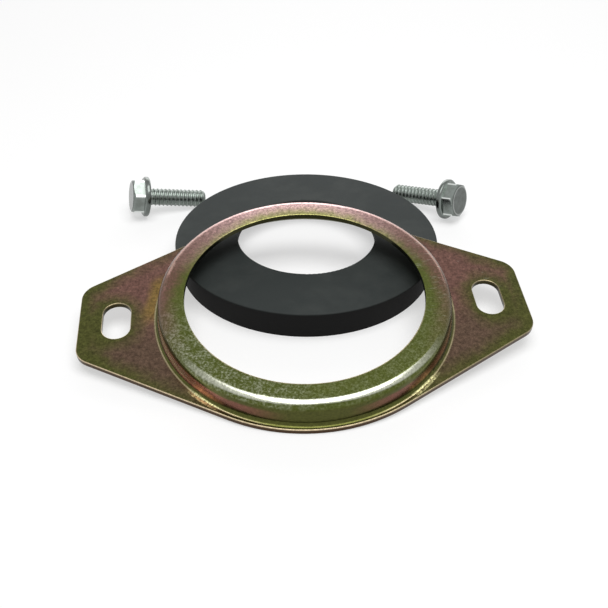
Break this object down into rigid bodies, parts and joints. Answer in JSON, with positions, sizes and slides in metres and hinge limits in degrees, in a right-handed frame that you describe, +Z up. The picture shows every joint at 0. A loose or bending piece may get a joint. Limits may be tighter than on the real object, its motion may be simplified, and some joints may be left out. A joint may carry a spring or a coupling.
{
  "type": "hydraulic flange",
  "caption": "Stamped steel flange with a drawn round cup and slotted ears, leaning on its thick rubber seal ring, with its hex washer head screws lying behind.",
  "frame": {"origin": "centre of the seal ring's hole, on the ring's underside, which is the floor", "axes": "+Z up along the seal ring's axis, +X to the right along the flange's length (turned 6 degrees from it), +Y to the rear, away from the flange"},
  "size_m": [0.1306, 0.1225, 0.0205],
  "materials": {
    "chromated_zinc": "zinc plated with a yellow iridescent chromate",
    "black_rubber": "matt moulded rubber",
    "bright_zinc": "bright zinc plated"
  },
  "bodies": {
    "root": {"flange": "chromated_zinc", "seal_ring": "black_rubber", "left_screw": "bright_zinc", "right_screw": "bright_zinc"}
  },
  "joints": []
}
